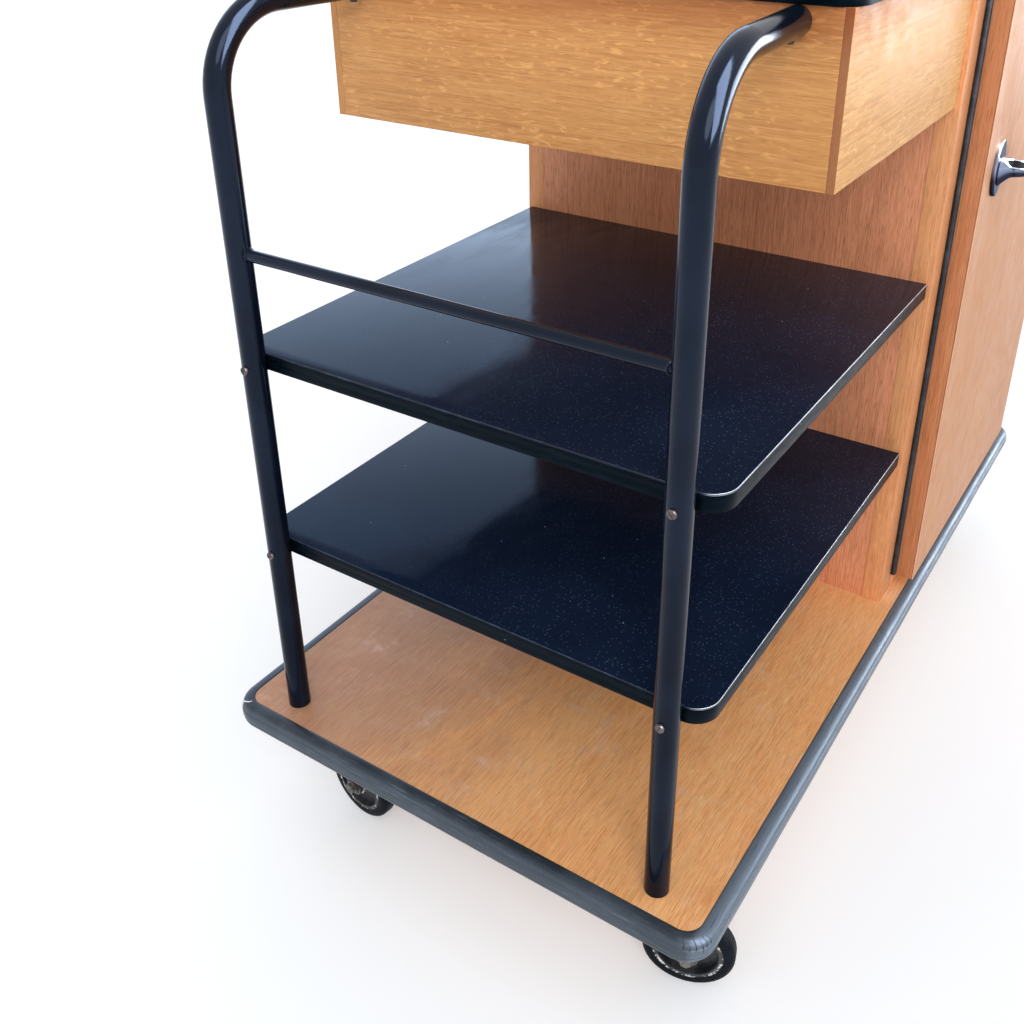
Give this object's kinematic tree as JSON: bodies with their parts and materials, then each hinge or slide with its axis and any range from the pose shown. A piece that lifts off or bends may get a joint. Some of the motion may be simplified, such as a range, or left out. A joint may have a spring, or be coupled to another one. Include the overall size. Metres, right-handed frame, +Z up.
{
  "type": "hostess trolley",
  "caption": "Hostess trolley: oak deck with rubber bumper on swivel castors, bent black push tubes, black shelves, a drawer box and a cupboard with a sealed door.",
  "frame": {"origin": "the bottom centre of the whole trolley's bounding box, on the floor", "axes": "+X runs from the push tubes to the cupboard end, -Y is the door side, +Y the drawer side, +Z up"},
  "size_m": [1.196, 0.6591, 1.003],
  "materials": {
    "oak_deck": "satin lacquer, worn",
    "oak_panel": "satin lacquer",
    "oak_stile": "satin lacquer",
    "oak_box": "satin lacquer",
    "oak_lipping": "satin lacquer",
    "oak_door_face": "satin lacquer, bleached",
    "pale_wood": "matte",
    "beech": "matte",
    "black_board": "black paint, gloss",
    "black_sheet": "gloss",
    "black_enamel": "gloss enamel, chipped",
    "bumper_rubber": "matte, weathered",
    "seal_rubber": "matte",
    "tyre_rubber": "matte",
    "wheel_disc": "worn paint",
    "castor_steel": "dull, dirty",
    "zinc_steel": "zinc plated",
    "bronze_screw": "aged",
    "chrome": "polished",
    "black_inlay": "gloss"
  },
  "bodies": {
    "trolley": {"deck_board": "oak_deck", "deck_bumper": "bumper_rubber", "deck_battens": "beech", "castor_plates": "castor_steel", "castor_screws": "zinc_steel", "upright_door_side": "black_enamel", "upright_drawer_side": "black_enamel", "tie_rail": "black_enamel", "upright_foot_studs": "zinc_steel", "upright_top_spigots": "zinc_steel", "spigot_screws": "zinc_steel", "shelf_screws": "bronze_screw", "lower_shelf_core": "black_board", "lower_shelf_sheet": "black_sheet", "upper_shelf_core": "black_board", "upper_shelf_sheet": "black_sheet", "shelf_dowels": "beech", "cabinet_posts": "oak_stile", "cabinet_push_panel": "oak_panel", "cabinet_far_panel": "oak_panel", "cabinet_back_panel": "oak_panel", "cabinet_front_rails": "oak_stile", "cabinet_floor_panel": "pale_wood", "cabinet_shelf": "pale_wood", "cabinet_shelf_pins": "zinc_steel", "door_gasket": "seal_rubber", "hinge_frame_leaves": "chrome", "hinge_pins": "chrome", "worktop_core": "black_board", "worktop_sheet": "black_sheet", "box_end_panel": "oak_box", "box_side_panel": "oak_box", "box_bottom_panel": "pale_wood", "drawer_guides": "beech"},
    "door": {"door_core": "pale_wood", "door_lipping": "oak_lipping", "door_veneer": "oak_door_face", "hinge_door_leaves": "chrome", "handle_rose": "chrome"},
    "latch": {"latch_lever": "chrome", "lever_inlay": "black_inlay", "latch_spindle": "zinc_steel", "latch_tongue": "zinc_steel"},
    "drawer": {"drawer_face": "oak_box", "drawer_sides": "pale_wood", "drawer_ends": "pale_wood", "drawer_bottom": "pale_wood", "drawer_pull": "chrome"},
    "castor_push_door": {"castor_fork_push_door": "castor_steel"},
    "wheel_push_door": {"castor_wheel_push_door": "wheel_disc", "castor_tyre_push_door": "tyre_rubber"},
    "castor_push_drawer": {"castor_fork_push_drawer": "castor_steel"},
    "wheel_push_drawer": {"castor_wheel_push_drawer": "wheel_disc", "castor_tyre_push_drawer": "tyre_rubber"},
    "castor_far_door": {"castor_fork_far_door": "castor_steel"},
    "wheel_far_door": {"castor_wheel_far_door": "wheel_disc", "castor_tyre_far_door": "tyre_rubber"},
    "castor_far_drawer": {"castor_fork_far_drawer": "castor_steel"},
    "wheel_far_drawer": {"castor_wheel_far_drawer": "wheel_disc", "castor_tyre_far_drawer": "tyre_rubber"}
  },
  "joints": [
    {"name": "door_hinge", "type": "hinge", "parent": "trolley", "child": "door", "pos_m": [0.5304, -0.27545, 0.757], "axis": [0, 0, 1], "range_deg": [0, 170]},
    {"name": "latch_turn", "type": "hinge", "parent": "door", "child": "latch", "pos_m": [0.093, -0.28775, 0.757], "axis": [0, 1, 0], "range_deg": [0, 90]},
    {"name": "drawer_slide", "type": "slide", "parent": "trolley", "child": "drawer", "axis": [0, 1, 0], "range_m": [0, 0.36]},
    {"name": "castor_swivel_push_door", "type": "hinge", "parent": "trolley", "child": "castor_push_door", "pos_m": [-0.501, -0.20145, 0.136], "axis": [0, 0, 1], "continuous": true},
    {"name": "wheel_spin_push_door", "type": "hinge", "parent": "castor_push_door", "child": "wheel_push_door", "pos_m": [-0.49223, -0.23014, 0.05], "axis": [0.9563, 0.2924, 0], "continuous": true},
    {"name": "castor_swivel_push_drawer", "type": "hinge", "parent": "trolley", "child": "castor_push_drawer", "pos_m": [-0.501, 0.24255, 0.136], "axis": [0, 0, 1], "continuous": true},
    {"name": "wheel_spin_push_drawer", "type": "hinge", "parent": "castor_push_drawer", "child": "wheel_push_drawer", "pos_m": [-0.50518, 0.21284, 0.05], "axis": [0.9903, -0.1392, 0], "continuous": true},
    {"name": "castor_swivel_far_door", "type": "hinge", "parent": "trolley", "child": "castor_far_door", "pos_m": [0.501, -0.20145, 0.136], "axis": [0, 0, 1], "continuous": true},
    {"name": "wheel_spin_far_door", "type": "hinge", "parent": "castor_far_door", "child": "wheel_far_door", "pos_m": [0.50414, -0.17161, 0.05], "axis": [-0.9945, 0.1045, 0], "continuous": true},
    {"name": "castor_swivel_far_drawer", "type": "hinge", "parent": "trolley", "child": "castor_far_drawer", "pos_m": [0.501, 0.24255, 0.136], "axis": [0, 0, 1], "continuous": true},
    {"name": "wheel_spin_far_drawer", "type": "hinge", "parent": "castor_far_drawer", "child": "wheel_far_drawer", "pos_m": [0.49374, 0.27166, 0.05], "axis": [-0.9703, -0.2419, 0], "continuous": true}
  ]
}
